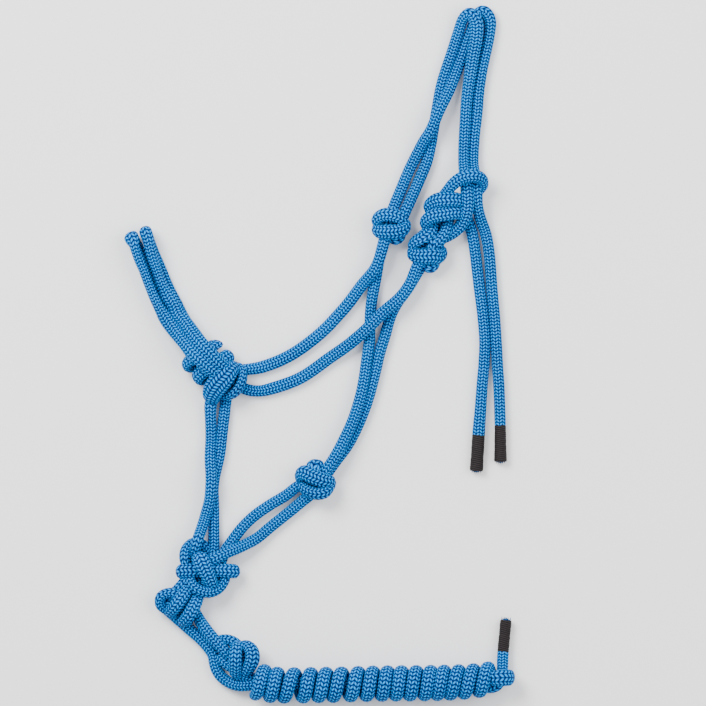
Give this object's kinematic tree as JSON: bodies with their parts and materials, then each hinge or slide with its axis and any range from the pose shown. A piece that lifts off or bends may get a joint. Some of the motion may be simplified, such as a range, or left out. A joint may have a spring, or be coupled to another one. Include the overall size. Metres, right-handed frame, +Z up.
{
  "type": "rope halter with lead",
  "caption": "Knotted soft-braid rope halter folded flat on its side, tied at a crown eye loop, with whipped crown tails and a short lead wrapped round itself.",
  "frame": {"origin": "middle of the footprint on the surface the folded halter lies on", "axes": "+Y along the halter towards the crown, +X from the nose towards the poll, +Z up off the surface, the near side of the halter on top"},
  "size_m": [0.2933, 0.5219, 0.0309],
  "materials": {
    "halter_rope": "soft braided cord, bright sky blue with darker gaps",
    "lead_rope": "soft braided cord, bright sky blue with darker gaps",
    "whipping": "tight black thread sleeve, matte"
  },
  "bodies": {
    "halter": {"crown_strand_outer": "halter_rope", "crown_strand_inner": "halter_rope", "crown_hitch": "halter_rope", "eye_loop": "halter_rope", "cheek_knot_near": "halter_rope", "cheek_knot_far": "halter_rope", "cheek_strand_near": "halter_rope", "cheek_strand_far": "halter_rope", "throat_strand_near": "halter_rope", "throat_strand_far": "halter_rope", "throat_knot": "halter_rope", "jaw_strand_upper": "halter_rope", "jaw_strand_lower": "halter_rope", "nose_knot_near": "halter_rope", "nose_knot_far": "halter_rope", "nose_strand_left": "halter_rope", "nose_strand_right": "halter_rope", "chin_strand_near": "halter_rope", "chin_strand_far": "halter_rope", "fiador_knot": "halter_rope", "fiador_loops": "halter_rope", "lead_loop": "lead_rope"},
    "noseband": {"noseband_strand_left": "halter_rope", "noseband_strand_right": "halter_rope"},
    "tail_left": {"crown_tail_left": "halter_rope", "whipping_left": "whipping"},
    "tail_right": {"crown_tail_right": "halter_rope", "whipping_right": "whipping"},
    "lead": {"lead_neck_outer": "lead_rope", "lead_neck_inner": "lead_rope", "lead_knot": "lead_rope", "lead_knot_ring": "lead_rope", "lead_core": "lead_rope", "lead_coil": "lead_rope", "lead_bight": "lead_rope", "lead_tuck": "lead_rope"},
    "lead_end": {"lead_tip": "lead_rope", "whipping_lead": "whipping"}
  },
  "joints": [
    {"name": "noseband_swing", "type": "hinge", "parent": "halter", "child": "noseband", "pos_m": [-0.103, 0.017, 0], "axis": [0, 0, 1], "range_deg": [-20, 25]},
    {"name": "crown_tail_left_swing", "type": "hinge", "parent": "halter", "child": "tail_left", "pos_m": [0.113, 0.093, 0], "axis": [0, 0, 1], "range_deg": [-25, 0]},
    {"name": "crown_tail_right_swing", "type": "hinge", "parent": "halter", "child": "tail_right", "pos_m": [0.123, 0.094, 0], "axis": [0, 0, 1], "range_deg": [0, 45]},
    {"name": "lead_swing", "type": "hinge", "parent": "halter", "child": "lead", "pos_m": [-0.0875, -0.2115, 0], "axis": [0, 0, 1], "range_deg": [-60, 25]},
    {"name": "lead_end_swing", "type": "hinge", "parent": "lead", "child": "lead_end", "pos_m": [0.1365, -0.237, 0], "axis": [0, 0, 1], "range_deg": [-50, 30]}
  ]
}
